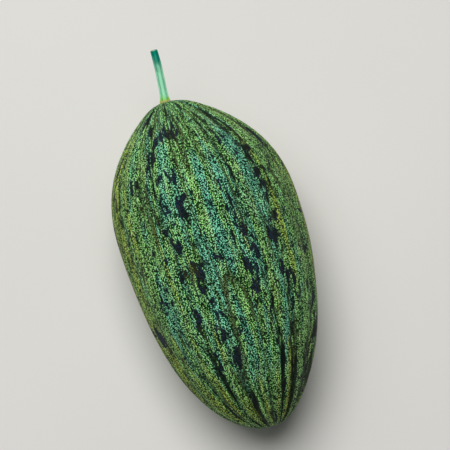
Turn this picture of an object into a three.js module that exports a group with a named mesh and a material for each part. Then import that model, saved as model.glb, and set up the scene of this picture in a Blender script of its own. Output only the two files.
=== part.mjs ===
// A piel de sapo melon, picked with a length of its stalk and lying on its side.
//
// The fruit is one solid: a long egg, widest nearer the stalk, with lengthwise ribs parted by
// furrows that deepen towards both ends. Its underside, where it lay on the soil, is smoother and
// has a small flat spot. The stalk is five-sided, flares where it joins the fruit and is cut off
// at its free end.
//
// Millimetres, +Z up. The origin is the middle of the flat spot. +Y points towards the stalk.

import * as THREE from "three";

// Driving dimensions.
const CORE_LENGTH = 306; // pole to pole, before the dimples shorten it
const FRUIT_RADIUS = 81.5;
const WIDEST = 0.4; // share of the length, from the stalk end
const STALK_HALF = { bulge: 2.6, point: 1.08 }; // higher bulge is fuller, higher point is blunter
const BLOSSOM_HALF = { bulge: 2.2, point: 1.78 };
const CORE_LEAN = { middle: 3.6, stalkEnd: 2.6, blossomEnd: 5.4 }; // sideways
const LEAN_REACH = { stalkEnd: 0.07, blossomEnd: 0.05 }; // shares of the length
const RIB_COUNT = 20;
const RIB_CROWN = 0.45; // height above the outline
const FURROW = { depth: 2.1, shallowest: 0.55, deepest: 1.25, patchiness: 0.35, patches: 9 };
const FURROW_WIDTH = 0.17; // of the space from one furrow to the next
const MIDDLE_RELIEF = 0.42; // relief halfway along, as a share of that at the ends
const TIP_SPACE = { closed: 2, open: 26 }; // outline radii between which the ribs fade in
const WANDER = [
  { degrees: 2.5, around: 3, along: -2.5, start: 4.3 },
  { degrees: 3.6, around: 6, along: -1.5, start: 1.1 },
  { degrees: 0.7, around: 2, along: 11, start: 0.4 },
];
const STALK_SEAT_RADIUS = 5.6;
const STALK_DIMPLE = { depth: 5, radius: 11 };
const BLOSSOM_SCAR = { radius: 4.5, height: 0.6 };
const BLOSSOM_DIMPLE = { depth: 3, radius: 8 };
const REST_STATION = 0.5; // where the weight is, as a share of the length
const FLAT_SPOT_DEPTH = 1;
const UNDERSIDE = { smooth: 10, ribbed: 34, relief: 0.2 }; // degrees from the lowest line, share left
const STALK_LENGTH = 46;
const STALK_RADIUS = { foot: 3.5, cut: 3.1 };
const STALK_FLARE = { radius: 1.3, reach: 3.5 };
const STALK_BEND = [0, 1.8, 3.6, 3.6]; // sideways, at thirds of its length
const STALK_RISE = [0, 0.6, 2.6, 6.5];
const STALK_SIDES = 5;
const STALK_EDGE = 0.07; // how far its edges stand out, as a share of its radius
const STALK_GAP = 0.3; // clearance between the stalk and its seat

// Fineness of the faceted solids.
const FRUIT_SEGMENTS = RIB_COUNT * 5;
const FRUIT_RINGS = 44;
const STALK_SEGMENTS = STALK_SIDES * 4;
const STALK_RINGS = 14;
const STALK_CROWDING = 1.4; // above 1, its rings crowd towards the foot

const TAU = 2 * Math.PI;
const { degToRad, euclideanModulo, lerp, smoothstep } = THREE.MathUtils;

// A repeatable number from 0 to 1 for each whole number.
function chance(index) {
  const wave = Math.sin(index * 12.9898 + 4.1) * 43758.5453;
  return wave - Math.floor(wave);
}

// Radius of the fruit without its ribs, at a station from 0 (stalk end) to 1 (blossom end).
function outlineRadius(station) {
  const stalkSide = station < WIDEST;
  const { bulge, point } = stalkSide ? STALK_HALF : BLOSSOM_HALF;
  const reach = stalkSide ? (WIDEST - station) / WIDEST : (station - WIDEST) / (1 - WIDEST);
  return FRUIT_RADIUS * Math.max(1 - reach ** bulge, 0) ** (1 / point);
}

// The station at which the outline has a given radius, on the stalk side or the blossom side.
function stationOfRadius(radius, stalkSide) {
  const { bulge, point } = stalkSide ? STALK_HALF : BLOSSOM_HALF;
  const reach = (1 - (radius / FRUIT_RADIUS) ** point) ** (1 / bulge);
  return stalkSide ? WIDEST * (1 - reach) : WIDEST + (1 - WIDEST) * reach;
}

// Sideways lean of the core: the middle and the blossom end bend one way, the stalk end the other.
function coreLean(station) {
  return (
    CORE_LEAN.middle * Math.sin(Math.PI * station) -
    CORE_LEAN.stalkEnd * Math.exp(-station / LEAN_REACH.stalkEnd) +
    CORE_LEAN.blossomEnd * Math.exp((station - 1) / LEAN_REACH.blossomEnd)
  );
}

// Ribs don't run dead straight: this turns a rib's own angle into the real one.
function wander(rib, station) {
  const waves = WANDER.map(
    (wave) => wave.degrees * Math.sin(wave.around * rib + wave.along * station + wave.start),
  );
  return rib + degToRad(waves.reduce((sum, wave) => sum + wave));
}

// Height of the skin over the outline: below it in each furrow, a little above it between them.
function ribRelief(rib, station) {
  const place = (rib / TAU) * RIB_COUNT + 0.5;
  const nearest = Math.round(place);
  const furrow = euclideanModulo(nearest, RIB_COUNT);
  const depth = FURROW.depth * lerp(FURROW.shallowest, FURROW.deepest, chance(furrow));
  const patchy = Math.sin(FURROW.patches * station + TAU * chance(furrow + RIB_COUNT));
  const valley = Math.exp(-(((place - nearest) / FURROW_WIDTH) ** 2));
  const crown = 0.5 - 0.5 * Math.cos(TAU * place);
  const towardsEnds = lerp(MIDDLE_RELIEF, 1, (2 * station - 1) ** 2);
  const roomAtTip = smoothstep(outlineRadius(station), TIP_SPACE.closed, TIP_SPACE.open);
  const fromBelow = Math.abs(Math.PI - euclideanModulo(rib, TAU));
  const ribbed = smoothstep(fromBelow, degToRad(UNDERSIDE.smooth), degToRad(UNDERSIDE.ribbed));
  const relief = RIB_CROWN * crown - depth * valley * (1 + FURROW.patchiness * patchy);
  return relief * towardsEnds * roomAtTip * lerp(UNDERSIDE.relief, 1, ribbed);
}

// A point of the skin, with the core along Y and the widest ring at the origin. The angle is
// counted from the top, +Z, towards +X.
function skinPoint(rib, station) {
  const outline = outlineRadius(station);
  const radius = outline + ribRelief(rib, station);
  const stalkSide = station < WIDEST;
  const dimple = stalkSide ? STALK_DIMPLE : BLOSSOM_DIMPLE;
  const sunk = dimple.depth * Math.exp(-((outline / dimple.radius) ** 2));
  const along = (WIDEST - station) * CORE_LENGTH + (stalkSide ? -sunk : sunk);
  const angle = wander(rib, station);
  return new THREE.Vector3(
    coreLean(station) + radius * Math.sin(angle),
    along,
    radius * Math.cos(angle),
  );
}

// A closed surface through rings of points, with a fan of triangles at each end. Each ring turns
// anticlockwise as seen from the first end.
function closedSkin(rings, firstEnd, lastEnd) {
  const segments = rings[0].length;
  const points = [...rings.flat(), firstEnd, lastEnd];
  const firstTip = points.length - 2;
  const lastTip = points.length - 1;
  const lastRing = (rings.length - 1) * segments;
  const triangles = [];
  for (let i = 0; i < segments; i++) {
    const next = (i + 1) % segments;
    triangles.push(firstTip, i, next);
    triangles.push(lastTip, lastRing + next, lastRing + i);
    for (let low = 0; low < lastRing; low += segments) {
      const high = low + segments;
      triangles.push(low + i, high + i, high + next);
      triangles.push(low + i, high + next, low + next);
    }
  }
  const geometry = new THREE.BufferGeometry().setFromPoints(points);
  geometry.setIndex(triangles);
  return geometry;
}

// How the fruit lies: tipped so that it touches the ground under its weight.
function restingPose() {
  const step = 1e-3;
  const rise = outlineRadius(REST_STATION - step) - outlineRadius(REST_STATION + step);
  const tip = Math.atan2(rise, 2 * step * CORE_LENGTH);
  const turn = new THREE.Matrix4().makeRotationX(tip);
  const touch = new THREE.Vector3(
    coreLean(REST_STATION),
    (WIDEST - REST_STATION) * CORE_LENGTH,
    -outlineRadius(REST_STATION),
  ).applyMatrix4(turn);
  const lowered = touch.add(new THREE.Vector3(0, 0, FLAT_SPOT_DEPTH)).negate();
  return new THREE.Matrix4().makeTranslation(lowered).multiply(turn);
}

// The fruit: rings crowd towards both ends, and what would sink below the ground is pressed flat.
function fruitGeometry(pose) {
  const first = stationOfRadius(STALK_SEAT_RADIUS, true);
  const last = stationOfRadius(BLOSSOM_SCAR.radius, false);
  const rings = [];
  for (let ring = 0; ring <= FRUIT_RINGS; ring++) {
    const eased = 0.5 - 0.5 * Math.cos((Math.PI * ring) / FRUIT_RINGS);
    const station = lerp(first, last, eased);
    const points = [];
    for (let i = 0; i < FRUIT_SEGMENTS; i++) {
      const rib = (TAU * i) / FRUIT_SEGMENTS + Math.PI / RIB_COUNT;
      points.push(skinPoint(rib, station));
    }
    rings.push(points);
  }
  const seat = new THREE.Vector3(coreLean(first), rings[0][0].y, 0);
  const scarTip = rings[FRUIT_RINGS][0].y - BLOSSOM_SCAR.height;
  const scar = new THREE.Vector3(coreLean(last), scarTip, 0);
  for (const point of [...rings.flat(), seat, scar]) {
    point.applyMatrix4(pose);
    point.z = Math.max(point.z, 0);
  }
  return { geometry: closedSkin(rings, seat, scar), seat };
}

// The stalk: starts on the seat, leans away from the core, straightens and rises.
function stalkGeometry() {
  const along = [STALK_GAP, STALK_LENGTH / 3, (2 * STALK_LENGTH) / 3, STALK_LENGTH];
  const bends = along.map((y, i) => new THREE.Vector3(STALK_BEND[i], y, STALK_RISE[i]));
  const curve = new THREE.CubicBezierCurve3(...bends);
  const ahead = new THREE.Vector3(0, 1, 0);
  const rings = [];
  for (let ring = 0; ring <= STALK_RINGS; ring++) {
    const share = 1 - (ring / STALK_RINGS) ** STALK_CROWDING;
    const middle = curve.getPoint(share);
    const distance = middle.y - STALK_GAP;
    const taper = lerp(STALK_RADIUS.foot, STALK_RADIUS.cut, distance / STALK_LENGTH);
    const flare = STALK_FLARE.radius * Math.exp(-distance / STALK_FLARE.reach);
    const turn = new THREE.Quaternion();
    if (ring < STALK_RINGS) turn.setFromUnitVectors(ahead, curve.getTangent(share));
    const points = [];
    for (let i = 0; i < STALK_SEGMENTS; i++) {
      const angle = (TAU * i) / STALK_SEGMENTS;
      const radius = (taper + flare) * (1 + STALK_EDGE * Math.cos(STALK_SIDES * angle));
      const spoke = new THREE.Vector3(radius * Math.sin(angle), 0, radius * Math.cos(angle));
      points.push(spoke.applyQuaternion(turn).add(middle));
    }
    rings.push(points);
  }
  return closedSkin(rings, curve.getPoint(1), curve.getPoint(0));
}

const pose = restingPose();
const { geometry: fruitSkin, seat } = fruitGeometry(pose);

const rind = new THREE.MeshStandardMaterial({ color: 0x4a6941, roughness: 0.55, metalness: 0 });
const fruit = new THREE.Mesh(fruitSkin, rind);
fruit.name = "fruit";

const greenStalk = new THREE.MeshStandardMaterial({ color: 0x8fc48f, roughness: 0.7, metalness: 0 });
const stalk = new THREE.Mesh(stalkGeometry(), greenStalk);
stalk.name = "stalk";
stalk.position.copy(seat);
stalk.rotation.setFromRotationMatrix(pose);

const melon = new THREE.Group();
melon.add(fruit, stalk);

export default melon;
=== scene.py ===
"""Looks of a piel de sapo melon, picked with a length of its stalk and lying on its side.

The skin is the long egg of the solid model on a finer grid, with creases, lumps, a fine raised net
near the stalk, a corky ring at the seat and a scar at the blossom end. The stalk is a five-edged
tube with fibres and a cut end. Metres, +Z up, +Y towards the stalk, origin at the rest spot.
"""

import logging
import math
from dataclasses import dataclass, field
from enum import Enum
from typing import Union

import bpy
import numpy as np
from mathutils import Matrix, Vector
from numpy.typing import NDArray


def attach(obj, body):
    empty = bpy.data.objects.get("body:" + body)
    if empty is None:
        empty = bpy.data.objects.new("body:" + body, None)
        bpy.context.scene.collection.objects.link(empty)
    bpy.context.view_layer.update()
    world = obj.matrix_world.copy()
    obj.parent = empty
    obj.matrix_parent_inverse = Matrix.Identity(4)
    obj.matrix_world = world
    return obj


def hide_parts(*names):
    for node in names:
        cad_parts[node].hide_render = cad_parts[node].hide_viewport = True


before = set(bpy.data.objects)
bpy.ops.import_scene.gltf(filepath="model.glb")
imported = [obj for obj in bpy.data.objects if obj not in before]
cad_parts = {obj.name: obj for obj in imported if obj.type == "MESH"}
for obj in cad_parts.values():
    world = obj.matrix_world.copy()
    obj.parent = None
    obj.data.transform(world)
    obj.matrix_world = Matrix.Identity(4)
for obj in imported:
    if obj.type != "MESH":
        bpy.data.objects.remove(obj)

Array = NDArray[np.float64]
Colour = tuple[float, float, float]
Triple = tuple[float, float, float]
TAU = 2 * math.pi
MM = 0.001

log = logging.getLogger("melon")


class End(Enum):
    """The two ends of the fruit."""

    STALK = "stalk"
    BLOSSOM = "blossom"


class Tint(Enum):
    """The colours that run along the skin as stripes; the dark ones are painted shade."""

    TEAL = "teal"
    YELLOW = "yellow"
    PAINTED_SHADE = "dark"


def smoothstep(value: Array, low: float, high: float) -> Array:
    """Soft step: 0 below low, 1 above high, and 3x^2 - 2x^3 between them."""
    share = np.clip((value - low) / (high - low), 0.0, 1.0)
    return share * share * (3.0 - 2.0 * share)


def mix(low: float, high: float, share: Union[Array, float]) -> Union[Array, float]:
    """Straight mix of two numbers: low where share is 0 and high where it is 1."""
    return low + (high - low) * share


def chance(index: Array) -> Array:
    """A repeatable number from 0 to 1 for each whole number: the fraction of a long sine."""
    wave = np.sin(index * 12.9898 + 4.1) * 43758.5453
    return wave - np.floor(wave)


def turn_gap(angle: Array, centre: float) -> Array:
    """Difference of two angles in degrees, wrapped to between -180 and 180."""
    return (angle - centre + 180.0) % 360.0 - 180.0


def paint(*shades: int) -> Colour:
    """The linear colour that a shader takes for a screen red, green and blue of 0 to 255."""
    shares = [shade / 255.0 for shade in shades]
    return tuple(s / 12.92 if s <= 0.04045 else ((s + 0.055) / 1.055) ** 2.4 for s in shares)


@dataclass(frozen=True)
class Signal:
    """One output socket of a node tree that takes part in arithmetic."""

    bench: "Bench"
    socket: bpy.types.NodeSocket

    def __add__(self, other: "Number") -> "Signal":
        """Sum."""
        return self.bench.maths("ADD", self, other)

    __radd__ = __add__

    def __sub__(self, other: "Number") -> "Signal":
        """Difference."""
        return self.bench.maths("SUBTRACT", self, other)

    def __rsub__(self, other: "Number") -> "Signal":
        """Difference the other way round, so that 1 - mask works."""
        return self.bench.maths("SUBTRACT", other, self)

    def __mul__(self, other: "Number") -> "Signal":
        """Product."""
        return self.bench.maths("MULTIPLY", self, other)

    __rmul__ = __mul__

    def step(self, low: float, high: float) -> "Signal":
        """Soft step of the signal.

        Args:
            low: Where the step is 0. It may be the larger one.
            high: Where the step is 1.

        Returns:
            The step.
        """
        settings = {"interpolation_type": "SMOOTHSTEP"}
        sockets = {"Value": self, "From Min": low, "From Max": high}
        return self.bench.out(self.bench.node("ShaderNodeMapRange", settings, sockets), "Result")


Number = Union[Signal, float]
Input = Union[Signal, float, tuple[float, ...]]


class Bench:
    """A new node material and the tools to wire it."""

    def __init__(self, name: str) -> None:
        """Starts an empty material with its shader and its output.

        Args:
            name: Name of the material.
        """
        self.material = bpy.data.materials.new(name)
        self.material.use_nodes = True
        self.tree = self.material.node_tree
        self.tree.nodes.clear()
        output = self.tree.nodes.new("ShaderNodeOutputMaterial")
        self.shader = self.tree.nodes.new("ShaderNodeBsdfPrincipled")
        self.tree.links.new(self.shader.outputs["BSDF"], output.inputs["Surface"])

    def node(self, kind: str, settings: dict[str, object], sockets: dict[str, Input]) -> bpy.types.Node:
        """Adds a node.

        Args:
            kind: The node's type.
            settings: The node's own settings, set first.
            sockets: Values or signals of its inputs, by identifier or by name.

        Returns:
            The node.
        """
        made = self.tree.nodes.new(kind)
        for key, value in settings.items():
            setattr(made, key, value)
        for key, value in sockets.items():
            self.feed(made, key, value)
        return made

    @staticmethod
    def find(sockets: bpy.types.bpy_prop_collection, key: str) -> bpy.types.NodeSocket:
        """The first socket of that identifier or name."""
        return next(socket for socket in sockets if key in (socket.identifier, socket.name))

    def feed(self, node: bpy.types.Node, key: str, value: Input) -> None:
        """Links a signal to one input of a node, or sets the input to a plain value.

        Args:
            node: The node.
            key: Identifier or name of the input.
            value: The signal or the plain value.
        """
        socket = self.find(node.inputs, key)
        if isinstance(value, Signal):
            self.tree.links.new(value.socket, socket)
        else:
            socket.default_value = value

    def out(self, node: bpy.types.Node, key: str) -> Signal:
        """One output of a node."""
        return Signal(self, self.find(node.outputs, key))

    def maths(self, operation: str, a: Number, b: Number) -> Signal:
        """A Math node of two values."""
        sockets = {"Value": a, "Value_001": b}
        return self.out(self.node("ShaderNodeMath", {"operation": operation}, sockets), "Value")

    def blend(self, base: Input, over: Input, share: Number) -> Signal:
        """Lays one colour over another by a share from 0 to 1.

        Args:
            base: Colour where the share is 0.
            over: Colour where the share is 1.
            share: How much of the second shows.

        Returns:
            The mixed colour.
        """
        settings = {"data_type": "RGBA", "clamp_factor": True}
        colours = {"A_Color": self.opaque(base), "B_Color": self.opaque(over)}
        made = self.node("ShaderNodeMix", settings, {"Factor_Float": share, **colours})
        return self.out(made, "Result_Color")

    @staticmethod
    def opaque(colour: Input) -> Input:
        """Adds an alpha of 1 to a plain colour, and leaves a signal as it is."""
        return colour if isinstance(colour, Signal) else (*colour, 1.0)

    def held(self, name: str, kind: str = "Fac") -> Signal:
        """A number, or with "Vector" a vector, that the mesh holds at each vertex."""
        return self.out(self.node("ShaderNodeAttribute", {"attribute_name": name}, {}), kind)

    def space(self) -> Signal:
        """The place in the object's own space."""
        return self.out(self.node("ShaderNodeTexCoord", {}, {}), "Object")

    def stretched(self, vector: Signal, scale: Triple) -> Signal:
        """The vector times a scale for each axis."""
        sockets = {"Vector": vector, "Vector_001": scale}
        return self.out(self.node("ShaderNodeVectorMath", {"operation": "MULTIPLY"}, sockets), "Vector")

    def noise(self, vector: Signal, scale: float, detail: float = 2.0, rough: float = 0.5) -> Signal:
        """Cloudy noise from -0.5 to 0.5: clouds to a metre, finer layers and their strength."""
        sockets = {"Vector": vector, "Scale": scale, "Detail": detail, "Roughness": rough}
        return self.out(self.node("ShaderNodeTexNoise", {}, sockets), "Fac") - 0.5

    def scatter(self, vector: Signal, scale: float) -> Signal:
        """Specks around 0: high close to scattered points, scale of them to a metre, low between."""
        cells = self.node("ShaderNodeTexVoronoi", {"feature": "F1"}, {"Vector": vector, "Scale": scale})
        return 0.55 - self.out(cells, "Distance")

    def relief(self, height: Signal, distance: float, strength: float) -> None:
        """Feeds a bump of that height, in metres, to the shader's normal."""
        sockets = {"Height": height, "Distance": distance, "Strength": strength}
        self.feed(self.shader, "Normal", self.out(self.node("ShaderNodeBump", {}, sockets), "Normal"))


@dataclass(frozen=True)
class RindFinish:
    """The waxy green rind: olive and teal streaks, speckles, dark blotches, net and cork."""

    olive: Colour = paint(36, 100, 20)
    teal: Colour = paint(0, 92, 72)
    dun: Colour = paint(80, 70, 24)
    yellow: Colour = paint(110, 132, 16)
    crease: Colour = paint(38, 40, 12)
    pale_speck: Colour = paint(182, 248, 152)
    pale_teal_speck: Colour = paint(152, 246, 202)
    gold_speck: Colour = paint(216, 238, 92)
    dark_speck: Colour = paint(0, 24, 6)
    blotch: Colour = paint(5, 11, 28)
    blotch_speck: Colour = paint(72, 92, 122)
    # Painted shade: a near-black green laid along the furrow valleys and the dark stripes.
    furrow: Colour = paint(5, 18, 6)
    net: Colour = paint(160, 182, 124)
    cork: Colour = paint(168, 156, 104)
    ground: Colour = paint(176, 170, 92)
    streak: Triple = (1.0, 0.09, 1.0)
    dash: Triple = (1.0, 0.5, 1.0)
    band_scale: float = 110.0
    streak_scale: float = 300.0
    hue_scale: float = 240.0
    thread_scale: float = 620.0
    patch_scale: float = 48.0
    fleck_scale: float = 190.0
    dash_scale: float = 950.0
    speck_scale: float = 940.0
    matt: float = 0.58
    sheen: float = 0.15
    relief: float = 0.9 * MM

    def material(self) -> bpy.types.Material:
        """Wires the rind."""
        return RindBench(self).dress()


class RindBench(Bench):
    """The rind's material in work, with the noises around 0 that its layers share."""

    def __init__(self, finish: RindFinish) -> None:
        """Reads the noises: long ones on the straightened skin, the finest ones in space.

        Args:
            finish: The colours and scales.
        """
        super().__init__("rind")
        self.finish = finish
        straight, place = self.held("straight", "Vector"), self.space()
        long, short = self.stretched(straight, finish.streak), self.stretched(straight, finish.dash)
        self.bands = self.noise(long, finish.band_scale)
        self.streaks = self.noise(long, finish.streak_scale, 3.0, 0.6)
        self.hues = self.noise(long, finish.hue_scale, 1.0)
        self.threads = self.noise(long, finish.thread_scale)
        self.patches = self.noise(short, finish.patch_scale)
        self.flecks = self.noise(short, finish.fleck_scale, 2.0, 0.6)
        self.dashes = self.noise(self.stretched(place, finish.dash), finish.dash_scale, 0.0)
        self.specks = self.scatter(place, finish.speck_scale)

    def tone(self) -> Signal:
        """Light and dark of the speckle: mostly the specks, drawn out along the fruit."""
        tone = self.specks * 0.86 + self.dashes * 0.25 + self.threads * 0.46
        return tone + self.streaks * 0.2 + 0.471

    def greens(self) -> tuple[Signal, Signal]:
        """The streaks of olive, teal, dun and yellow.

        Returns:
            The colour of the skin and that of its pale specks.
        """
        teal = self.held("teal") + self.hues * 4.4 + self.bands * 3.4 + self.flecks
        teal = teal.step(-0.2, 1.1)
        dun = self.threads * 3.0 + self.flecks - self.bands * 3.0
        yellow = self.held("yellow") + self.hues * 1.6 + self.threads * 0.8 + self.patches
        yellow = yellow.step(0.2, 1.0) * 0.82
        skin = self.blend(self.finish.olive, self.finish.teal, teal)
        skin = self.blend(skin, self.finish.dun, dun.step(0.2, 0.8) * 0.7)
        skin = self.blend(skin, self.finish.yellow, yellow)
        speck = self.blend(self.finish.pale_speck, self.finish.pale_teal_speck, teal)
        return skin, self.blend(speck, self.finish.gold_speck, yellow)

    def markings(self, skin: Signal) -> Signal:
        """Lays the creases, the painted shade of the furrows, the net and the ground spot over the
        speckled skin.

        Args:
            skin: The speckled skin.

        Returns:
            The skin with its markings.
        """
        crease = self.held("crease") * 0.55 + self.threads * 0.9
        # Painted shade in the furrows, and along the dark stripes of painted shade.
        furrow = self.held("furrow") * 1.1 + self.streaks * 1.4 + self.flecks * 1.6
        net = self.held("net") + self.threads * 1.6
        ground = self.held("ground") + self.patches * 0.9 + self.flecks * 0.5
        skin = self.blend(skin, self.finish.crease, crease.step(0.3, 0.56) * 0.8)
        skin = self.blend(skin, self.finish.furrow, furrow.step(0.3, 0.85) * 0.94)
        skin = self.blend(skin, self.finish.net, net.step(0.5, 0.95) * 0.6)
        return self.blend(skin, self.finish.ground, ground.step(0.2, 1.0) * 0.8)

    def dress(self) -> bpy.types.Material:
        """Lays the layers over each other and feeds the shader.

        Returns:
            The material.
        """
        tone = self.tone()
        blotch = self.held("blotch") + self.streaks + self.flecks * 1.9 + self.dashes * 0.6
        blotch = blotch.step(0.36, 0.48)
        cork = (self.held("cork") + self.specks * 0.4).step(0.3, 0.8)
        skin, speck = self.greens()
        skin = self.blend(skin, self.finish.blotch, blotch * 0.97)
        speck = self.blend(speck, self.finish.blotch_speck, blotch)
        skin = self.blend(skin, speck, tone.step(0.565, 0.62) * (1.0 - blotch * 0.7))
        dark = tone.step(0.495, 0.43) * (0.97 - blotch * 0.5)
        skin = self.markings(self.blend(skin, self.finish.dark_speck, dark))
        self.feed(self.shader, "Base Color", self.blend(skin, self.finish.cork, cork * 0.9))
        self.feed(self.shader, "Roughness", self.finish.matt + self.dashes * 0.2 + cork * 0.2)
        self.feed(self.shader, "Specular IOR Level", self.finish.sheen)
        self.relief(self.streaks * 1.1 + tone * 1.5 - blotch * 0.2, self.finish.relief, 0.8)
        return self.material


@dataclass(frozen=True)
class StalkFinish:
    """The fresh stalk: pale mint low down, sea green towards the cut, with fibres."""

    foot: Colour = paint(132, 206, 52)
    low: Colour = paint(156, 230, 188)
    high: Colour = paint(0, 140, 118)
    groove: Colour = paint(10, 74, 48)
    cork: Colour = paint(172, 164, 108)
    rim: Colour = paint(24, 66, 48)
    pith: Colour = paint(168, 200, 150)
    strand: Triple = (1.0, 0.12, 1.0)
    strand_scale: float = 2100.0
    cloud: Triple = (1.0, 0.5, 1.0)
    cloud_scale: float = 260.0
    grain_scale: float = 2600.0
    matt: float = 0.675
    sheen: float = 0.06
    relief: float = 0.25 * MM

    def material(self) -> bpy.types.Material:
        """Wires the stalk.

        Returns:
            The material.
        """
        bench = Bench("stalk")
        fibre = bench.held("fibre", "Vector")
        strands = bench.noise(bench.stretched(fibre, self.strand), self.strand_scale, 2.0, 0.7)
        clouds = bench.noise(bench.stretched(fibre, self.cloud), self.cloud_scale)
        grains = bench.noise(bench.space(), self.grain_scale, 1.0)

        reach = bench.held("reach") + clouds * 0.35
        skin = bench.blend(self.foot, self.low, reach.step(0.02, 0.17))
        skin = bench.blend(skin, self.high, reach.step(0.5, 0.92))
        groove = bench.held("groove") * 0.8 + strands * 1.3
        skin = bench.blend(skin, self.groove, groove.step(0.3, 1.1) * 0.7)
        cork = bench.held("cork") + grains * 0.5
        skin = bench.blend(skin, self.cork, cork.step(0.35, 0.75) * 0.85)
        spoke = bench.held("spoke") + grains * 0.25
        cut = bench.blend(self.pith, self.rim, spoke.step(0.55, 0.85))
        skin = bench.blend(skin, cut, bench.held("cut"))

        bench.feed(bench.shader, "Base Color", skin)
        bench.feed(bench.shader, "Roughness", self.matt + strands * 0.25)
        bench.feed(bench.shader, "Specular IOR Level", self.sheen)
        bench.relief(strands + grains * 0.4, self.relief, 0.5)
        return bench.material


@dataclass(frozen=True)
class FloorFinish:
    """A plain pale matt floor with a faint unevenness."""

    light: Colour = paint(226, 224, 219)
    shade: Colour = paint(218, 216, 211)
    cloud_scale: float = 3.0
    matt: float = 0.85

    def material(self) -> bpy.types.Material:
        """Wires the floor.

        Returns:
            The material.
        """
        bench = Bench("floor")
        clouds = bench.noise(bench.space(), self.cloud_scale) + 0.5
        bench.feed(bench.shader, "Base Color", bench.blend(self.light, self.shade, clouds))
        bench.feed(bench.shader, "Roughness", self.matt)
        return bench.material


@dataclass(frozen=True)
class Waves:
    """A seeded sum of ripples over the skin, with whole numbers of them around so that it closes."""

    seed: int
    count: int
    around: tuple[int, int]
    along: float

    def ripple(self, rib: Array, station: Array) -> Array:
        """Sum of sines of (around x rib + along x station + start), scaled to a spread of 1.

        Args:
            rib: Angle around, in radians.
            station: Place along, 0 to 1.

        Returns:
            The ripple at each place, mostly between -2 and 2.
        """
        rng = np.random.default_rng(self.seed)
        around = rng.integers(self.around[0], self.around[1] + 1, self.count)
        along = rng.uniform(-self.along, self.along, self.count)
        start = rng.uniform(0.0, TAU, self.count)
        total = np.zeros_like(rib)
        for turns, waves, phase in zip(around, along, start):
            total += np.sin(turns * rib + waves * station + phase)
        return total / math.sqrt(self.count / 2)


@dataclass(frozen=True)
class HalfProfile:
    """One half of the outline. A higher bulge is fuller and a higher point is blunter."""

    bulge: float
    point: float


@dataclass(frozen=True)
class Core:
    """The fruit's form without its ribs, and how it lies."""

    length: float = 306 * MM
    radius: float = 81.5 * MM
    widest: float = 0.4
    stalk_half: HalfProfile = HalfProfile(2.6, 1.08)
    blossom_half: HalfProfile = HalfProfile(2.2, 1.78)
    lean_middle: float = 3.6 * MM
    lean_stalk_end: float = 2.6 * MM
    lean_blossom_end: float = 5.4 * MM
    stalk_dimple: tuple[float, float] = (5 * MM, 11 * MM)
    blossom_dimple: tuple[float, float] = (3 * MM, 8 * MM)
    rest_station: float = 0.5
    flat_depth: float = 1 * MM

    def outline(self, station: Array) -> Array:
        """Radius at a station: radius x (1 - reach^bulge)^(1/point), reach running to 1 at each tip.

        Args:
            station: Stations, 0 to 1.

        Returns:
            Radii in metres.
        """
        stalk_side = station < self.widest
        reach = np.abs(self.widest - station) / np.where(stalk_side, self.widest, 1 - self.widest)
        bulge = np.where(stalk_side, self.stalk_half.bulge, self.blossom_half.bulge)
        point = np.where(stalk_side, self.stalk_half.point, self.blossom_half.point)
        return self.radius * np.maximum(1 - reach**bulge, 0) ** (1 / point)

    def station_of(self, radius: float, end: End) -> float:
        """The station near an end at which the outline has a radius.

        Args:
            radius: Wanted radius, in metres.
            end: Which end.

        Returns:
            The station, 0 to 1.
        """
        half = self.stalk_half if end is End.STALK else self.blossom_half
        reach = (1 - (radius / self.radius) ** half.point) ** (1 / half.bulge)
        if end is End.STALK:
            return self.widest * (1 - reach)
        return self.widest + (1 - self.widest) * reach

    def lean(self, station: Array) -> Array:
        """Sideways lean: a half sine in the middle and a fading pull at each end.

        Args:
            station: Stations, 0 to 1.

        Returns:
            Shifts along x, in metres.
        """
        middle = self.lean_middle * np.sin(math.pi * station)
        stalk_end = self.lean_stalk_end * np.exp(-station / 0.07)
        return middle - stalk_end + self.lean_blossom_end * np.exp((station - 1) / 0.05)

    def along(self, station: Array) -> Array:
        """Place along the core, from the widest ring: straight, and sunk by a bell at each end.

        Args:
            station: Stations, 0 to 1.

        Returns:
            Places along y, in metres.
        """
        outline = self.outline(station)
        stalk_side = station < self.widest
        depth = np.where(stalk_side, self.stalk_dimple[0], self.blossom_dimple[0])
        reach = np.where(stalk_side, self.stalk_dimple[1], self.blossom_dimple[1])
        sunk = depth * np.exp(-((outline / reach) ** 2))
        return (self.widest - station) * self.length + np.where(stalk_side, -sunk, sunk)

    def lay(self, points: Array) -> Array:
        """Lays points of the upright core on the ground.

        The core is tipped by the slope of its outline where it rests, and lowered so that the
        underside would go one flat depth below the ground.

        Args:
            points: Places with the core along Y, last axis x, y, z.

        Returns:
            Places in the row frame.
        """
        step = 1e-3
        around_rest = np.array([self.rest_station - step, self.rest_station + step])
        tip = math.atan2(-np.diff(self.outline(around_rest))[0], 2 * step * self.length)
        flat, steep = math.cos(tip), math.sin(tip)
        turn = np.array([[1.0, 0.0, 0.0], [0.0, flat, steep], [0.0, -steep, flat]])
        rest = np.array([self.rest_station])
        middle = (self.widest - self.rest_station) * self.length
        touch = np.array([self.lean(rest)[0], middle, -self.outline(rest)[0]])
        return (points - touch) @ turn - np.array([0.0, 0.0, self.flat_depth])


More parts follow.
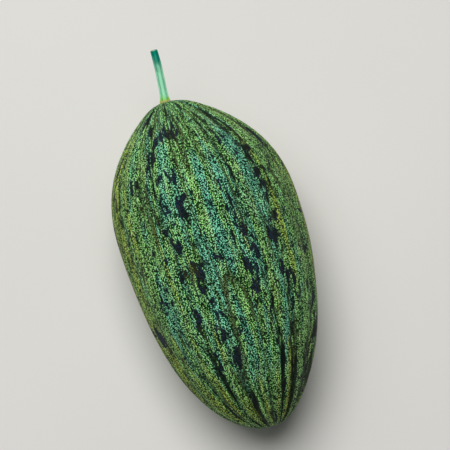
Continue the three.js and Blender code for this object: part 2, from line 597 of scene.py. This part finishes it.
@dataclass(frozen=True)
class Ribs:
    """The lengthwise ribs and the furrows between them."""

    count: int = 20
    crown: float = 0.45 * MM
    depth: float = 2.1 * MM
    width: float = 0.17
    middle_relief: float = 0.42
    underside: float = 0.2
    waves: tuple[tuple[float, float, float, float], ...] = (
        (2.5, 3.0, -2.5, 4.3),
        (3.6, 6.0, -1.5, 1.1),
        (0.7, 2.0, 11.0, 0.4),
    )

    def wander(self, rib: Array, station: Array) -> Array:
        """A rib's real angle: its own plus sines of (around x rib + along x station + start).

        Args:
            rib: Rib angles in radians.
            station: Stations, 0 to 1.

        Returns:
            Real angles in radians.
        """
        swing = sum(
            degrees * np.sin(around * rib + along * station + start)
            for degrees, around, along, start in self.waves
        )
        return rib + np.radians(swing)

    def valley(self, rib: Array) -> tuple[Array, Array, Array]:
        """Where a place lies between the furrows.

        Args:
            rib: Angle around, in radians.

        Returns:
            The furrow's number, a bell that is 1 in its middle, and a wave that is 1 on a crown.
        """
        place = rib / TAU * self.count + 0.5
        nearest = np.floor(place + 0.5)
        bell = np.exp(-(((place - nearest) / self.width) ** 2))
        return nearest % self.count, bell, 0.5 - 0.5 * np.cos(TAU * place)

    def strength(self, rib: Array, station: Array) -> Array:
        """How strong the ribs are: full at both ends, less in the middle, little underneath.

        Args:
            rib: Rib angles in radians.
            station: Stations, 0 to 1.

        Returns:
            Strengths, 0 to 1.
        """
        below = np.abs(math.pi - rib % TAU)
        ribbed = smoothstep(below, math.radians(10), math.radians(34))
        towards_ends = mix(self.middle_relief, 1.0, (2 * station - 1) ** 2)
        return towards_ends * mix(self.underside, 1.0, ribbed)

    def relief(self, rib: Array, station: Array, outline: Array) -> Array:
        """Height over the outline: a low crown, less a bell of uneven depth in each furrow.

        Args:
            rib: Angle around, in radians.
            station: Place along, 0 to 1.
            outline: Radius of the core there.

        Returns:
            Height in metres.
        """
        furrow, bell, crown = self.valley(rib)
        depth = self.depth * mix(0.55, 1.25, chance(furrow))
        patchy = 1 + 0.35 * np.sin(9 * station + TAU * chance(furrow + self.count))
        room = smoothstep(outline, 2 * MM, 26 * MM)
        height = self.crown * crown - depth * bell * patchy
        return height * room * self.strength(rib, station)


@dataclass(frozen=True)
class Stripe:
    """A streak of colour along the skin, at an angle from the top."""

    tint: Tint
    angle: float
    first: float
    last: float
    width: float
    strength: float

    def field(self, angle: Array, station: Array) -> Array:
        """A bell across the stripe times a soft window along it.

        Args:
            angle: Angles from the top, in degrees.
            station: Stations, 0 to 1.

        Returns:
            The stripe's field.
        """
        across = np.exp(-((turn_gap(angle, self.angle) / self.width) ** 2))
        fade_in = smoothstep(station, self.first - 0.06, self.first + 0.06)
        fade_out = 1 - smoothstep(station, self.last - 0.06, self.last + 0.06)
        return self.strength * across * fade_in * fade_out


@dataclass(frozen=True)
class Blotch:
    """A dark patch on the skin: its middle, its length along and its width in degrees."""

    station: float
    angle: float
    length: float
    width: float
    drift: float = 0.0

    def field(self, angle: Array, station: Array) -> Array:
        """A bell, exp(-u^2 - v^2), u across and v along, slanted by the drift.

        Args:
            angle: Angles from the top, in degrees.
            station: Stations, 0 to 1.

        Returns:
            The blotch's field.
        """
        along = (station - self.station) / (self.length * 0.5)
        across = turn_gap(angle - self.drift * along, self.angle) / (self.width * 0.72)
        return np.exp(-(along**2) - across**2)


def hand_placed_stripes() -> list[Stripe]:
    """The stripes of the side that is seen, teal first, then yellow, then the dark stripes of painted
    shade.

    Returns:
        The stripes.
    """
    teal = [
        (-58, 0.2, 0.75, 3.0, 0.3), (-42, 0.1, 0.9, 4.0, 0.35), (-23, 0.3, 0.8, 2.6, 0.35),
        (-9, 0.35, 0.75, 3.4, 0.4), (3, 0.3, 0.8, 2.6, 0.35), (23, 0.25, 0.7, 2.4, 0.35),
        (35, 0.15, 0.85, 2.8, 0.7), (40, 0.3, 0.85, 2.0, 0.4),
    ]
    yellow = [
        (-66, 0.1, 0.8, 5.0, 0.6), (-52, 0.1, 0.9, 2.6, 0.55), (-34, 0.15, 0.97, 2.4, 0.6),
        (-18, 0.2, 0.97, 2.2, 0.5), (-1, 0.2, 0.7, 2.0, 0.4), (8, 0.15, 0.8, 2.0, 0.45),
        (17, 0.1, 0.5, 2.0, 0.4), (28, 0.1, 0.8, 2.2, 0.55), (46, 0.15, 0.65, 2.5, 0.85),
        (5, 0.8, 0.98, 3.4, 0.6), (20, 0.82, 0.98, 3.0, 0.6), (35, 0.76, 0.99, 3.0, 1.4),
        (-80, 0.12, 0.72, 5.0, 0.5), (-31, 0.78, 0.93, 2.4, 0.8), (-13, 0.88, 0.97, 3.4, 0.8),
        # The stripe at 79 degrees is a painted reflection: a yellow line on the rim from warm light
        # bounced off the cut halves nearby.
        (-48, 0.82, 0.93, 3.4, 0.7), (79, 0.25, 0.75, 2.6, 1.0),
    ]
    # Painted shade: dark lines near both ends, drawn with the furrows' shade.
    dark = [
        (-26, 0.7, 0.9, 1.7, 1.2), (-7, 0.86, 1.0, 2.8, 1.6), (27, 0.76, 0.99, 1.8, 1.4),
        (42, 0.8, 0.99, 2.0, 1.4), (-42, 0.87, 0.98, 2.8, 1.4), (14, 0.93, 1.0, 3.6, 0.9),
        (-27, 0.04, 0.12, 2.6, 0.9), (-8, 0.03, 0.1, 3.0, 0.9), (28, 0.05, 0.14, 2.0, 0.8),
        (47, 0.06, 0.2, 1.4, 1.2), (63, 0.1, 0.2, 1.5, 1.1), (56, 0.2, 0.28, 1.1, 1.2),
        # The last two stripes here are broad bands of painted shadow on the lower right flank.
        (47, 0.26, 0.34, 1.2, 1.0), (57, 0.74, 0.99, 6.0, 0.75), (71, 0.68, 0.97, 8.0, 0.7),
    ]
    tints = {Tint.TEAL: teal, Tint.YELLOW: yellow, Tint.PAINTED_SHADE: dark}
    return [Stripe(tint, *values) for tint, rows in tints.items() for values in rows]


def hand_placed_blotches() -> list[Blotch]:
    """The dark patches of the side that is seen.

    Returns:
        The broad ones, from the stalk end to the blossom end, then the narrow ones.
    """
    places = [
        (0.116, -2, 0.045, 4.4), (0.06, -42, 0.03, 7.0), (0.163, -26, 0.065, 3.8),
        (0.12, -14, 0.035, 4.0), (0.127, -23, 0.05, 3.6), (0.06, 20, 0.03, 4.0),
        (0.14, 17, 0.025, 2.4), (0.23, -44, 0.05, 2.0), (0.23, -13, 0.04, 3.0),
        (0.23, 33, 0.025, 1.8), (0.235, 42, 0.04, 2.0), (0.25, 60, 0.04, 2.5),
        (0.31, -13, 0.08, 4.2), (0.31, -24.5, 0.06, 3.2), (0.32, 15, 0.05, 2.4),
        (0.30, 40, 0.05, 2.2), (0.38, -26, 0.03, 2.0), (0.42, -22, 0.05, 2.6),
        (0.43, 18.5, 0.07, 2.4, -4.0), (0.46, 37, 0.09, 2.6), (0.50, -25, 0.07, 2.8),
        (0.51, -14, 0.09, 3.2), (0.49, 22, 0.04, 2.2), (0.55, 16, 0.11, 4.0),
        (0.565, 37.5, 0.08, 2.8, 2.0), (0.555, -46, 0.06, 3.0), (0.63, -26, 0.07, 2.8),
        (0.675, 24, 0.14, 2.6), (0.63, -10, 0.03, 2.0), (0.68, -15, 0.05, 2.6),
        (0.75, -23, 0.10, 3.0), (0.76, -8, 0.06, 4.2), (0.805, 27, 0.06, 2.8),
        (0.82, 41, 0.05, 2.6), (0.85, -25, 0.05, 2.6), (0.895, -7, 0.05, 3.2),
        (0.885, 25, 0.07, 3.0), (0.94, 14, 0.04, 3.5), (0.97, -12, 0.03, 4.0),
        (0.37, 41, 0.17, 1.6, -1.5), (0.50, 37.5, 0.20, 1.7), (0.60, 44, 0.09, 2.2, 3.0),
        (0.35, 16, 0.16, 1.2), (0.172, 30, 0.025, 3.0), (0.236, -22, 0.035, 2.6),
        (0.1, -32, 0.06, 2.6), (0.2, -29, 0.05, 2.0),
    ]
    return [Blotch(*values) for values in places]


@dataclass(frozen=True)
class Pattern:
    """Stripes and blotches of the whole skin: listed where seen, seeded elsewhere."""

    seed: int = 11
    hidden_stripes: int = 34
    hidden_blotches: int = 46
    seen_to: float = 72.0

    def stripes(self) -> list[Stripe]:
        """All stripes.

        Returns:
            The listed ones and seeded ones round the sides that aren't seen.
        """
        rng = np.random.default_rng(self.seed)
        made = hand_placed_stripes()
        for number in range(self.hidden_stripes):
            tint = Tint.TEAL if number % 2 else Tint.YELLOW
            angle = rng.uniform(self.seen_to, 360 - self.seen_to)
            first, last = rng.uniform(0.1, 0.35), rng.uniform(0.6, 0.95)
            width, strength = rng.uniform(2.0, 4.0), rng.uniform(0.3, 0.6)
            made.append(Stripe(tint, angle, first, last, width, strength))
        return made

    def blotches(self) -> list[Blotch]:
        """All blotches.

        Returns:
            The listed ones and seeded ones round the sides that aren't seen.
        """
        rng = np.random.default_rng(self.seed + 1)
        made = hand_placed_blotches()
        for _ in range(self.hidden_blotches):
            angle = rng.uniform(self.seen_to - 6, 366 - self.seen_to)
            station, drift = rng.uniform(0.08, 0.93), rng.uniform(-2, 2)
            length, width = rng.uniform(0.03, 0.1), rng.uniform(2.0, 3.8)
            made.append(Blotch(station, angle, length, width, drift))
        return made


@dataclass(frozen=True)
class Zones:
    """How the colours spread over the skin: angles in degrees from the top, and stations."""

    ground_half_angle: float = 42.0
    ground_half_length: float = 0.4
    teal_centre: float = 12.0
    teal_reach: float = 42.0
    teal_most: float = 0.75
    teal_base: float = -0.2
    # The flanks' shift to yellow and away from teal is partly the rind's own colour and partly painted
    # warm light bounced onto them.
    flank: tuple[float, float] = (46.0, 74.0)
    flank_teal_and_bounce: float = -0.7
    flank_yellow_and_bounce: float = 0.3
    end_yellow: tuple[float, float] = (0.06, 0.2)

    def ground(self, angle: Array, station: Array) -> Array:
        """The pale spot underneath: 1 inside an ellipse, with a soft edge.

        Args:
            angle: Angles from the top, in degrees.
            station: Stations, 0 to 1.

        Returns:
            The spot's field.
        """
        below = turn_gap(angle, 180.0) / self.ground_half_angle
        along = (station - 0.5) / self.ground_half_length
        return 1 - smoothstep(np.hypot(below, along), 0.5, 1.15)

    def body(self, station: Array) -> Array:
        """1 over the middle of the fruit and 0 at both ends."""
        return smoothstep(station, 0.08, 0.25) * (1 - smoothstep(station, 0.72, 0.95))

    def flanks(self, angle: Array) -> Array:
        """0 on top of the fruit and 1 from the flanks down."""
        return smoothstep(np.abs(turn_gap(angle, 0.0)), *self.flank)

    def teal(self, angle: Array, station: Array) -> Array:
        """Teal: a bell across the top of the body, and little of it on the flanks, partly as painted
        warm bounced light.

        Args:
            angle: Angles from the top, in degrees.
            station: Stations, 0 to 1.

        Returns:
            The field of teal.
        """
        bell = np.exp(-((turn_gap(angle, self.teal_centre) / self.teal_reach) ** 2))
        top = self.teal_most * self.body(station) * bell
        return top + self.teal_base + self.flank_teal_and_bounce * self.flanks(angle)

    def yellow(self, angle: Array, station: Array) -> Array:
        """Yellow: more of it on the flanks, partly as painted warm bounced light, and at the ends, most
        at the blossom end.
        """
        ends = mix(*self.end_yellow, station) * (1 - self.body(station))
        return ends + self.flank_yellow_and_bounce * self.flanks(angle)


@dataclass
class Fruit:
    """The whole fruit's skin."""

    core: Core = field(default_factory=Core)
    ribs: Ribs = field(default_factory=Ribs)
    zones: Zones = field(default_factory=Zones)
    pattern: Pattern = field(default_factory=Pattern)
    seat_radius: float = 5.6 * MM
    scar_radius: float = 4.5 * MM
    scar_height: float = 0.6 * MM
    scar_rim: float = 0.35 * MM
    segments: int = 512
    rings: int = 182
    scar_rings: int = 8
    crease_depth: float = 0.5 * MM
    lump_height: float = 0.3 * MM
    net_height: float = 0.28 * MM
    cork_height: float = 0.35 * MM
    shake_degrees: float = 1.5
    shake_share: float = 0.007
    creases: Waves = Waves(5, 26, (26, 54), 11.0)
    lumps: Waves = Waves(8, 20, (3, 13), 22.0)
    network: Waves = Waves(14, 30, (24, 60), 60.0)
    ragged: Waves = Waves(21, 26, (20, 70), 130.0)
    torn: Waves = Waves(22, 26, (20, 70), 130.0)

    def grid(self) -> tuple[Array, Array]:
        """The rib angles and stations of the grid. Rings crowd towards both ends.

        Returns:
            Rib angles in radians and stations, each one row for a ring.
        """
        share = np.linspace(0.0, 1.0, self.rings + 1)
        eased = 0.3 * share + 0.7 * (0.5 - 0.5 * np.cos(math.pi * share))
        first = self.core.station_of(self.seat_radius, End.STALK)
        last = self.core.station_of(self.scar_radius, End.BLOSSOM)
        station = mix(first, last, eased)
        rib = TAU * np.arange(self.segments) / self.segments + math.pi / self.ribs.count
        return tuple(np.meshgrid(rib, station))

    def tints(self, angle: Array, station: Array) -> dict[Tint, Array]:
        """The stripes on top of how teal and yellow spread over the skin.

        Args:
            angle: Angles from the top, in degrees.
            station: Stations, 0 to 1.

        Returns:
            A field for each tint.
        """
        fields = {
            Tint.TEAL: self.zones.teal(angle, station),
            Tint.YELLOW: self.zones.yellow(angle, station),
            Tint.PAINTED_SHADE: np.zeros_like(angle),
        }
        for stripe in self.pattern.stripes():
            fields[stripe.tint] = fields[stripe.tint] + stripe.field(angle, station)
        return fields

    def blotch_field(self, rib: Array, angle: Array, station: Array) -> Array:
        """The strongest blotch at each place, read at a place that fine ripples shake.

        Args:
            rib: Rib angles in radians.
            angle: Angles from the top, in degrees.
            station: Stations, 0 to 1.

        Returns:
            The field.
        """
        shaken_angle = angle + self.shake_degrees * self.ragged.ripple(rib, station)
        shaken_station = station + self.shake_share * self.torn.ripple(rib, station)
        strongest = np.zeros_like(rib)
        for patch in self.pattern.blotches():
            strongest = np.maximum(strongest, patch.field(shaken_angle, shaken_station))
        return strongest

    def furrow_shade_lines(self, rib: Array, station: Array) -> Array:
        """Painted shade in the furrows: dark lines, a bell across, wider and stronger towards both
        ends.

        Args:
            rib: Rib angles in radians.
            station: Stations, 0 to 1.

        Returns:
            The field. A lower power of the bell makes a wider line.
        """
        furrow, bell, _ = self.ribs.valley(rib)
        power = mix(0.65, 1.0, smoothstep(station, 0.05, 0.3))
        power = power * mix(1.0, 0.45, smoothstep(station, 0.55, 0.85))
        towards_ends = mix(0.5, 1.0, np.abs(2 * station - 1) ** 1.5)
        strength = mix(0.45, 1.0, chance(furrow)) * towards_ends
        return bell**power * strength * smoothstep(self.core.outline(station), 3 * MM, 12 * MM)

    def marks(self, rib: Array, station: Array) -> dict[str, Array]:
        """The fields that carve and colour the skin, each from 0 to about 1.

        Args:
            rib: Rib angles in radians.
            station: Stations, 0 to 1.

        Returns:
            The fields by name.
        """
        angle = np.degrees(self.ribs.wander(rib, station))
        outline = self.core.outline(station)
        ground = self.zones.ground(angle, station)
        tints = self.tints(angle, station)
        blotch = np.maximum(self.blotch_field(rib, angle, station), 0.1 * self.zones.body(station))
        # Painted shade: dark lines in the furrows, joined by the dark stripes of painted shade.
        furrow = np.maximum(self.furrow_shade_lines(rib, station), tints[Tint.PAINTED_SHADE])
        crease = np.exp(-((self.creases.ripple(rib, station) / 0.3) ** 2))
        threads = np.exp(-((self.network.ripple(rib, station) / 0.13) ** 2))
        near_stalk = smoothstep(outline, 9 * MM, 22 * MM) * (1 - smoothstep(station, 0.1, 0.24))
        seat = np.exp(-(((outline - 7 * MM) / (1.6 * MM)) ** 2)) * (station < 0.5)
        return {
            "teal": tints[Tint.TEAL] * (1 - ground),
            "yellow": tints[Tint.YELLOW] * (1 - 0.5 * ground),
            "blotch": blotch * (1 - smoothstep(ground, 0.1, 0.5)),
            "furrow": furrow * (1 - ground),
            "crease": crease * smoothstep(outline, 6 * MM, 40 * MM) * (1 - 0.6 * ground),
            "net": threads * near_stalk,
            "ground": ground,
            "cork": seat + 1 - smoothstep(outline, 4 * MM, 6.5 * MM),
        }

    def upright(self, rib: Array, station: Array, marks: dict[str, Array]) -> Array:
        """The skin with its core along Y: radius around the leaning core, carved by the marks.

        Radius is the outline, plus ribs, lumps, net and cork, less the creases.

        Args:
            rib: Rib angles in radians.
            station: Stations, 0 to 1.
            marks: The fields from marks().

        Returns:
            Places, last axis x, y, z.
        """
        outline = self.core.outline(station)
        room = smoothstep(outline, 4 * MM, 30 * MM)
        calm = 1 - 0.8 * marks["ground"]
        radius = outline + self.ribs.relief(rib, station, outline)
        radius = radius + self.lump_height * self.lumps.ripple(rib, station) * room * calm
        radius = radius - self.crease_depth * marks["crease"] * calm
        radius = radius + self.net_height * marks["net"]
        angle = self.ribs.wander(rib, station)
        along = self.core.along(station) + self.cork_height * marks["cork"] * (station < 0.5)
        x = self.core.lean(station) + radius * np.sin(angle)
        return np.stack([x, along, radius * np.cos(angle)], axis=-1)

    def scar(self, last_ring: Array) -> Array:
        """Rings that close the blossom end: they shrink evenly onto a low dome with a raised rim.

        Args:
            last_ring: The skin's last ring.

        Returns:
            The further rings.
        """
        centre = last_ring.mean(axis=0)
        share = np.arange(1, self.scar_rings + 1) / (self.scar_rings + 1)
        dome = self.scar_height * (1 - (1 - share) ** 2)
        rim = self.scar_rim * np.exp(-(((share - 0.2) / 0.12) ** 2))
        rings = centre + (last_ring - centre)[None] * (1 - share)[:, None, None]
        rings[:, :, 1] -= (dome + rim)[:, None]
        return rings

    def build(self) -> bpy.types.Object:
        """Builds and dresses the fruit.

        Returns:
            The piece.
        """
        rib, station = self.grid()
        marks = self.marks(rib, station)
        skin = self.upright(rib, station, marks)
        scar = self.scar(skin[-1])
        rings = self.core.lay(np.concatenate([skin, scar]))
        rings[..., 2] = np.maximum(rings[..., 2], 0.0)
        ends = self.core.lay(np.array([skin[0].mean(axis=0), scar[-1].mean(axis=0)]))
        at_scar = ((0, self.scar_rings), (0, 0))
        values = {
            name: np.pad(mark, at_scar, constant_values=float(name == "cork"))
            for name, mark in marks.items()
        }
        along = self.core.along(station)
        reach = self.core.radius
        straight = np.stack([reach * np.sin(rib), along, reach * np.cos(rib)], axis=-1)
        values["straight"] = np.pad(straight, (*at_scar, (0, 0)), mode="edge")
        piece = closed_skin("rind", rings, ends[0], ends[1], values)
        piece.data.materials.append(RindFinish().material())
        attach(piece, "root")
        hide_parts("fruit")
        return piece


@dataclass
class Stalk:
    """The length of stalk that was cut with the fruit."""

    fruit: Fruit
    length: float = 46 * MM
    foot_radius: float = 3.5 * MM
    cut_radius: float = 3.1 * MM
    flare: float = 1.3 * MM
    flare_reach: float = 3.5 * MM
    bend: tuple[float, float, float, float] = (0.0, 1.8 * MM, 3.6 * MM, 3.6 * MM)
    rise: tuple[float, float, float, float] = (0.0, 0.6 * MM, 2.6 * MM, 6.5 * MM)
    sides: int = 5
    edge: float = 0.07
    sunk: float = 0.6 * MM
    fine_edge: float = 0.012
    uneven: float = 0.02
    collar: float = 0.3 * MM
    cut_hollow: float = 0.5 * MM
    cut_rim: float = 0.15 * MM
    cork_place: float = 1.2 * MM
    cork_reach: float = 1.3 * MM
    segments: int = 80
    rings: int = 110
    crowding: float = 1.25
    cut_rings: int = 8

    def path(self, share: Array) -> tuple[Array, Array]:
        """The middle line: a cubic curve through its four guides, from foot to cut.

        Args:
            share: 0 at the foot, 1 at the cut end.

        Returns:
            Places and unit directions, last axis x, y, z.
        """
        along = (-self.sunk, self.length / 3, 2 * self.length / 3, self.length)
        guides = np.array(list(zip(self.bend, along, self.rise)))
        left = 1 - share
        weights = np.stack([left**3, 3 * left**2 * share, 3 * left * share**2, share**3], axis=-1)
        steps = np.stack([left**2, 2 * left * share, share**2], axis=-1)
        ahead = steps @ np.diff(guides, axis=0)
        return weights @ guides, ahead / np.linalg.norm(ahead, axis=-1, keepdims=True)

    def section(self, angle: Array, distance: Array) -> Array:
        """Radius: taper and flare, with five rounded edges and finer ribs between them.

        Args:
            angle: Angle around, in radians.
            distance: Distance from the foot, in metres.

        Returns:
            Radius in metres.
        """
        taper = mix(self.foot_radius, self.cut_radius, distance / self.length)
        flare = self.flare * np.exp(-distance / self.flare_reach)
        collar = self.collar * np.exp(-(((distance - 1.4 * MM) / (0.7 * MM)) ** 2))
        edges = self.edge * np.cos(self.sides * angle)
        edges = edges + self.fine_edge * np.cos(3 * self.sides * angle + 0.8)
        uneven = self.uneven * np.sin(2 * angle + distance / (7 * MM))
        uneven = uneven + 0.6 * self.uneven * np.sin(distance / (2.6 * MM))
        return (taper + flare) * (1 + edges + uneven) + collar

    def wall(self, middle: Array, ahead: Array) -> tuple[Array, Array, Array]:
        """The tube: round each place of the middle line, spokes of the section's radius.

        Args:
            middle: Places of the middle line.
            ahead: Unit directions of the middle line.

        Returns:
            Angles around, distances from the foot and places, each one row for a ring.
        """
        angle = TAU * np.arange(self.segments) / self.segments
        across = np.cross(ahead, np.array([0.0, 0.0, 1.0]))
        across /= np.linalg.norm(across, axis=-1, keepdims=True)
        upward = np.cross(across, ahead)
        around, reach = np.meshgrid(angle, np.maximum(middle[:, 1], 0.0))
        sideways, upwards = np.sin(around)[..., None], np.cos(around)[..., None]
        spokes = across[:, None] * sideways + upward[:, None] * upwards
        return around, reach, middle[:, None] + self.section(around, reach)[..., None] * spokes

    def cut_face(self, rim: Array, centre: Array, ahead: Array) -> tuple[Array, Array, Array]:
        """The cut: the last ring shrunk to its centre, with a rounded rim and a slight hollow.

        Args:
            rim: The wall's last ring.
            centre: The middle of that ring.
            ahead: Direction that the cut faces.

        Returns:
            The rings, the point in the middle, and each ring's size as a share of the rim's.
        """
        inwards = np.arange(1, self.cut_rings + 1) / (self.cut_rings + 1)
        hollow = self.cut_hollow * np.sin(math.pi * np.clip(inwards * 1.1 - 0.1, 0, 1) / 2) ** 2
        round_off = self.cut_rim * np.exp(-(((inwards - 0.12) / 0.1) ** 2))
        spread = 1 - inwards
        rings = centre + (rim - centre)[None] * spread[:, None, None]
        rings = rings + ahead * (round_off - hollow)[:, None, None]
        return rings, centre - ahead * hollow[-1], spread

    def build(self) -> bpy.types.Object:
        """Builds and dresses the stalk.

        Returns:
            The piece.
        """
        middle, ahead = self.path(np.linspace(0.0, 1.0, self.rings + 1) ** self.crowding)
        around, reach, wall = self.wall(middle, ahead)
        cut, tip, spread = self.cut_face(wall[-1], middle[-1], ahead[-1])
        cork = np.exp(-(((reach - self.cork_place) / self.cork_reach) ** 2))
        fibre = np.stack([np.sin(around), reach / self.foot_radius, np.cos(around)], axis=-1)
        none = np.zeros_like(reach)
        at_cut = ((0, self.cut_rings), (0, 0))
        values = {
            "reach": np.pad(reach / self.length, at_cut, constant_values=1.0),
            "groove": np.pad(0.5 - 0.5 * np.cos(self.sides * around), at_cut),
            "cork": np.pad(cork, at_cut),
            "cut": np.pad(none, at_cut, constant_values=1.0),
            "spoke": np.concatenate([none, np.repeat(spread[:, None], self.segments, 1)]),
            "fibre": np.pad(fibre * self.foot_radius, (*at_cut, (0, 0)), mode="edge"),
        }
        values = {name: value[::-1] for name, value in values.items()}
        core, seat = self.fruit.core, self.fruit_seat()
        rings = core.lay(np.concatenate([wall, cut])[::-1] + seat)
        ends = core.lay(np.array([tip, middle[0]]) + seat)
        piece = closed_skin("stalk_with_cut", rings, ends[0], ends[1], values)
        piece.data.materials.append(StalkFinish().material())
        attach(piece, "root")
        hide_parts("stalk")
        return piece

    def fruit_seat(self) -> Array:
        """The middle of the seat, with the fruit's core along Y.

        Returns:
            The place.
        """
        core = self.fruit.core
        station = np.array([core.station_of(self.fruit.seat_radius, End.STALK)])
        return np.array([core.lean(station)[0], core.along(station)[0], 0.0])


def closed_skin(
    name: str, rings: Array, first_tip: Array, last_tip: Array, values: dict[str, Array]
) -> bpy.types.Object:
    """Makes a closed smooth mesh from rings of points, with a fan at each end.

    Args:
        name: Name of the piece.
        rings: Rings of points, each turning anticlockwise as seen from the first tip.
        first_tip: Point that closes the first ring.
        last_tip: Point that closes the last ring.
        values: Rings of numbers or vectors by attribute name. A tip takes that of its ring.

    Returns:
        The object, linked to the scene.
    """
    count, segments = rings.shape[:2]
    here = np.arange(count * segments).reshape(count, segments)
    following = np.roll(here, -1, axis=1)
    quads = np.stack([here[:-1], here[1:], following[1:], following[:-1]], axis=-1)
    tip = np.full(segments, count * segments)
    first_fan = np.stack([tip, here[0], following[0]], axis=-1)
    last_fan = np.stack([tip + 1, following[-1], here[-1]], axis=-1)
    points = np.concatenate([rings.reshape(-1, 3), first_tip[None], last_tip[None]])
    faces = quads.reshape(-1, 4).tolist() + first_fan.tolist() + last_fan.tolist()
    mesh = bpy.data.meshes.new(name)
    mesh.from_pydata(points.tolist(), [], faces)
    mesh.polygons.foreach_set("use_smooth", np.ones(len(faces), dtype=bool))
    for key, value in values.items():
        kind, slot = ("FLOAT_VECTOR", "vector") if value.ndim == 3 else ("FLOAT", "value")
        whole = np.concatenate([value.ravel(), value[[0, -1], 0].ravel()])
        attribute = mesh.attributes.new(key, kind, "POINT")
        attribute.data.foreach_set(slot, whole.astype(np.float32))
    mesh.update()
    made = bpy.data.objects.new(name, mesh)
    bpy.context.scene.collection.objects.link(made)
    return made


def stand(name: str, data: bpy.types.ID, place: Vector, heading: Vector) -> bpy.types.Object:
    """Stands a light or a camera in the scene.

    Args:
        name: Its name.
        data: The light or camera.
        place: Where it stands.
        heading: The direction that it looks along.

    Returns:
        The object, linked to the scene.
    """
    made = bpy.data.objects.new(name, data)
    made.location = place
    made.rotation_mode = "QUATERNION"
    made.rotation_quaternion = heading.to_track_quat("-Z", "Y")
    bpy.context.scene.collection.objects.link(made)
    return made


@dataclass
class Studio:
    """The pale floor, the soft lights and the camera above the fruit."""

    floor_size: float = 40.0
    sun_strength: float = 2.02
    sun_spread: float = 35.0
    sun_heading: Triple = (0.0, -0.72, -1.4)
    lamp_size: float = 1.0
    lamp_watts: float = 6.6
    lamp_place: Triple = (-0.1, 0.5, 1.25)
    lamp_target: Triple = (0.0, 0.0, 0.08)
    sky_colour: Colour = (0.94, 0.97, 1.0)
    sky_strength: float = 0.09
    azimuth: float = -17.0
    elevation: float = 87.0
    lens: float = 120.0
    sensor: float = 36.0
    distance: float = 1.3116
    target: Triple = (0.0129, 0.0237, 0.0835)

    def lay_floor(self) -> None:
        """Lays the floor, which isn't part of the object."""
        half = self.floor_size / 2
        outer = [(-half, -half, 0), (half, -half, 0), (half, half, 0), (-half, half, 0)]
        mesh = bpy.data.meshes.new("floor")
        mesh.from_pydata(outer, [], [(0, 1, 2, 3)])
        floor = bpy.data.objects.new("floor", mesh)
        floor.data.materials.append(FloorFinish().material())
        bpy.context.scene.collection.objects.link(floor)

    def light(self) -> None:
        """Hangs a wide sun from the stalk side, a soft square lamp above, and a weak pale sky."""
        sun = bpy.data.lights.new("key", "SUN")
        sun.energy = self.sun_strength
        sun.angle = math.radians(self.sun_spread)
        stand("key", sun, Vector(), Vector(self.sun_heading))
        lamp = bpy.data.lights.new("lamp", "AREA")
        lamp.shape = "SQUARE"
        lamp.size = self.lamp_size
        lamp.energy = self.lamp_watts
        place = Vector(self.lamp_place)
        stand("lamp", lamp, place, Vector(self.lamp_target) - place)
        world = bpy.data.worlds.new("sky")
        bpy.context.scene.world = world
        world.use_nodes = True
        background = world.node_tree.nodes["Background"]
        background.inputs["Color"].default_value = (*self.sky_colour, 1.0)
        background.inputs["Strength"].default_value = self.sky_strength

    def stand_camera(self) -> None:
        """Puts the camera above the fruit, looking down along the picture's angle."""
        turn, lift = math.radians(self.azimuth), math.radians(self.elevation)
        back = Vector(
            (math.sin(turn) * math.cos(lift), -math.cos(turn) * math.cos(lift), math.sin(lift))
        )
        data = bpy.data.cameras.new("camera")
        data.lens = self.lens
        data.sensor_width = self.sensor
        place = Vector(self.target) + back * self.distance
        bpy.context.scene.camera = stand("camera", data, place, -back)


def main() -> None:
    """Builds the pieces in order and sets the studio."""
    logging.basicConfig(level=logging.INFO, format="%(message)s")
    bpy.context.scene.view_settings.view_transform = "Standard"
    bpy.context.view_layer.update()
    fruit = Fruit()
    for piece in (fruit.build(), Stalk(fruit).build()):
        log.info("%s: %d faces", piece.name, len(piece.data.polygons))
    studio = Studio()
    studio.lay_floor()
    studio.light()
    studio.stand_camera()
    bpy.context.view_layer.update()


if __name__ == "__main__":
    main()
